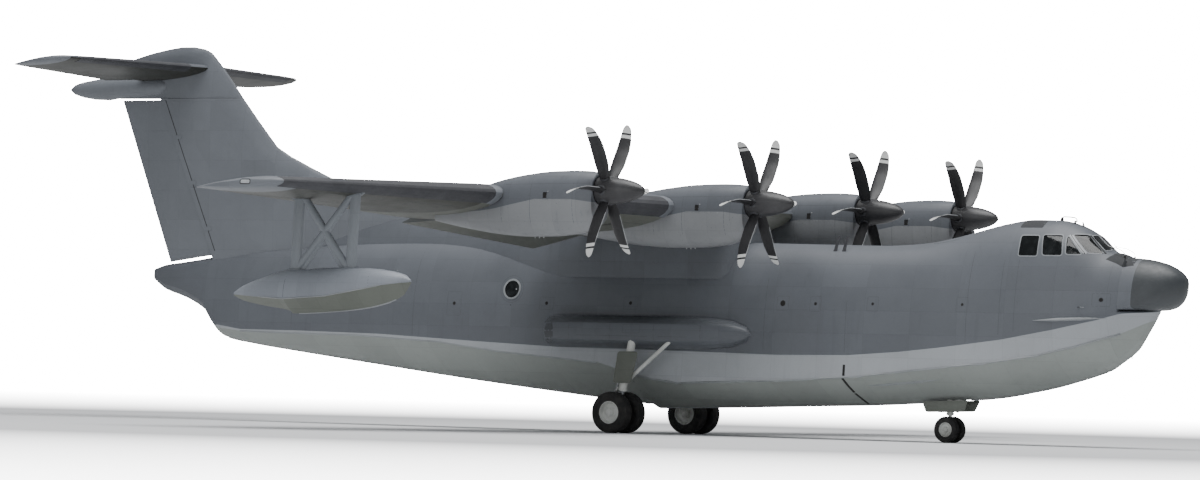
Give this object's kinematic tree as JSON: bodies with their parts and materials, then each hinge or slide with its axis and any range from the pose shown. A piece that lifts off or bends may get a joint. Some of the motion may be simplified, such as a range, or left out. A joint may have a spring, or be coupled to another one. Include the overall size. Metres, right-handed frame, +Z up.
{
  "type": "flying boat",
  "caption": "Amphibious flying boat with a stepped hull, high wing, turboprop nacelles with six-blade propellers, wing floats and a T-tail, parked on its landing gear.",
  "frame": {"origin": "on the ground, below the middle of the whole length, on the centre plane", "axes": "+X towards the nose, +Y to port (wing span), +Z up; the port and starboard halves mirror each other across the XZ plane"},
  "size_m": [33.1996, 33.16, 9.78],
  "materials": {
    "paint_dark": "matt blue-grey aircraft enamel",
    "paint_light": "matt light grey aircraft enamel",
    "radome_grey": "satin dark grey rain-resistant coating",
    "clear_glass": "tinted acrylic and glass panes",
    "seat_cloth": "woven seat cloth",
    "panel_black": "matt black instrument panel",
    "prop_black": "satin black with white tip bands",
    "engine_grey": "cast and machined metal",
    "gear_white": "gloss white landing gear enamel",
    "tyre_rubber": "black tyre rubber on painted wheels"
  },
  "bodies": {
    "airframe": {"radome": "radome_grey", "hull_forward": "paint_dark", "hull_main": "paint_dark", "flight_deck_glass": "clear_glass", "flight_deck_seats": "seat_cloth", "instrument_panel": "panel_black", "gear_fairing_left": "paint_dark", "gear_fairing_right": "paint_dark", "wing_centre": "paint_light", "wing_bay_left": "paint_light", "wing_bay_right": "paint_light", "wing_outer_left": "paint_light", "wing_outer_right": "paint_light", "wing_tip_left": "paint_light", "wing_tip_right": "paint_light", "fin": "paint_dark", "fin_cap": "paint_dark", "tailplane_left": "paint_dark", "tailplane_right": "paint_dark", "tailplane_tip_left": "paint_dark", "tailplane_tip_right": "paint_dark", "nacelle_inner_left": "paint_dark", "nacelle_inner_right": "paint_dark", "nacelle_outer_left": "paint_dark", "nacelle_outer_right": "paint_dark", "engine_inner_left": "engine_grey", "engine_inner_right": "engine_grey", "engine_outer_left": "engine_grey", "engine_outer_right": "engine_grey", "float_left": "paint_light", "float_right": "paint_light", "float_struts_left": "paint_light", "float_struts_right": "paint_light", "main_leg_left": "gear_white", "main_leg_right": "gear_white", "nose_leg": "gear_white"},
    "flap_left": {"flap_left": "paint_light"},
    "flap_right": {"flap_right": "paint_light"},
    "aileron_left": {"aileron_left": "paint_light"},
    "aileron_right": {"aileron_right": "paint_light"},
    "rudder": {"rudder": "paint_dark"},
    "elevator_left": {"elevator_left": "paint_dark"},
    "elevator_right": {"elevator_right": "paint_dark"},
    "propeller_inner_left": {"propeller_inner_left": "prop_black"},
    "propeller_inner_right": {"propeller_inner_right": "prop_black"},
    "propeller_outer_left": {"propeller_outer_left": "prop_black"},
    "propeller_outer_right": {"propeller_outer_right": "prop_black"},
    "main_wheels_left": {"main_wheels_left": "tyre_rubber"},
    "main_wheels_right": {"main_wheels_right": "tyre_rubber"},
    "nose_steering": {"nose_fork": "gear_white"},
    "nose_wheels": {"nose_wheels": "tyre_rubber"}
  },
  "joints": [
    {"name": "propeller_inner_left_spin", "type": "hinge", "parent": "airframe", "child": "propeller_inner_left", "pos_m": [6.52, 2.69, 5.65], "axis": [1, 0, 0], "continuous": true},
    {"name": "propeller_inner_right_spin", "type": "hinge", "parent": "airframe", "child": "propeller_inner_right", "pos_m": [6.52, -2.69, 5.65], "axis": [1, 0, 0], "continuous": true},
    {"name": "propeller_outer_left_spin", "type": "hinge", "parent": "airframe", "child": "propeller_outer_left", "pos_m": [5.98, 8.63, 5.71], "axis": [1, 0, 0], "continuous": true},
    {"name": "propeller_outer_right_spin", "type": "hinge", "parent": "airframe", "child": "propeller_outer_right", "pos_m": [5.98, -8.63, 5.71], "axis": [1, 0, 0], "continuous": true},
    {"name": "main_wheels_left_roll", "type": "hinge", "parent": "airframe", "child": "main_wheels_left", "pos_m": [2, 1.78, 0.508], "axis": [0, 1, 0], "continuous": true},
    {"name": "main_wheels_right_roll", "type": "hinge", "parent": "airframe", "child": "main_wheels_right", "pos_m": [2, -1.78, 0.508], "axis": [0, 1, 0], "continuous": true},
    {"name": "nose_steer", "type": "hinge", "parent": "airframe", "child": "nose_steering", "pos_m": [10.33, 0, 0.6], "axis": [0, 0, 1], "range_deg": [-60, 60]},
    {"name": "nose_wheels_roll", "type": "hinge", "parent": "nose_steering", "child": "nose_wheels", "pos_m": [10.33, 0, 0.3175], "axis": [0, 1, 0], "continuous": true},
    {"name": "flap_left_hinge", "type": "hinge", "parent": "airframe", "child": "flap_left", "pos_m": [0.43748, 1.42, 5.08397], "axis": [-0.0369, 0.999, 0.0257], "range_deg": [-28, 6]},
    {"name": "flap_right_hinge", "type": "hinge", "parent": "airframe", "child": "flap_right", "pos_m": [0.43748, -1.42, 5.08397], "axis": [-0.0369, -0.999, 0.0257], "range_deg": [-6, 28]},
    {"name": "aileron_left_hinge", "type": "hinge", "parent": "airframe", "child": "aileron_left", "pos_m": [0.15596, 9.48, 5.30534], "axis": [0.0095, 0.9996, 0.0267], "range_deg": [-18, 22]},
    {"name": "aileron_right_hinge", "type": "hinge", "parent": "airframe", "child": "aileron_right", "pos_m": [0.15596, -9.48, 5.30534], "axis": [0.0095, -0.9996, 0.0267], "range_deg": [-22, 18]},
    {"name": "rudder_hinge", "type": "hinge", "parent": "airframe", "child": "rudder", "pos_m": [-11.752, 0, 4.33], "axis": [-0.4006, 0, 0.9163], "range_deg": [-25, 25]},
    {"name": "elevator_left_hinge", "type": "hinge", "parent": "airframe", "child": "elevator_left", "pos_m": [-14.12304, 0.62, 8.98717], "axis": [0.029, 0.9994, 0.0196], "range_deg": [-15, 25]},
    {"name": "elevator_right_hinge", "type": "hinge", "parent": "airframe", "child": "elevator_right", "pos_m": [-14.12304, -0.62, 8.98717], "axis": [0.029, -0.9994, 0.0196], "range_deg": [-25, 15]}
  ]
}
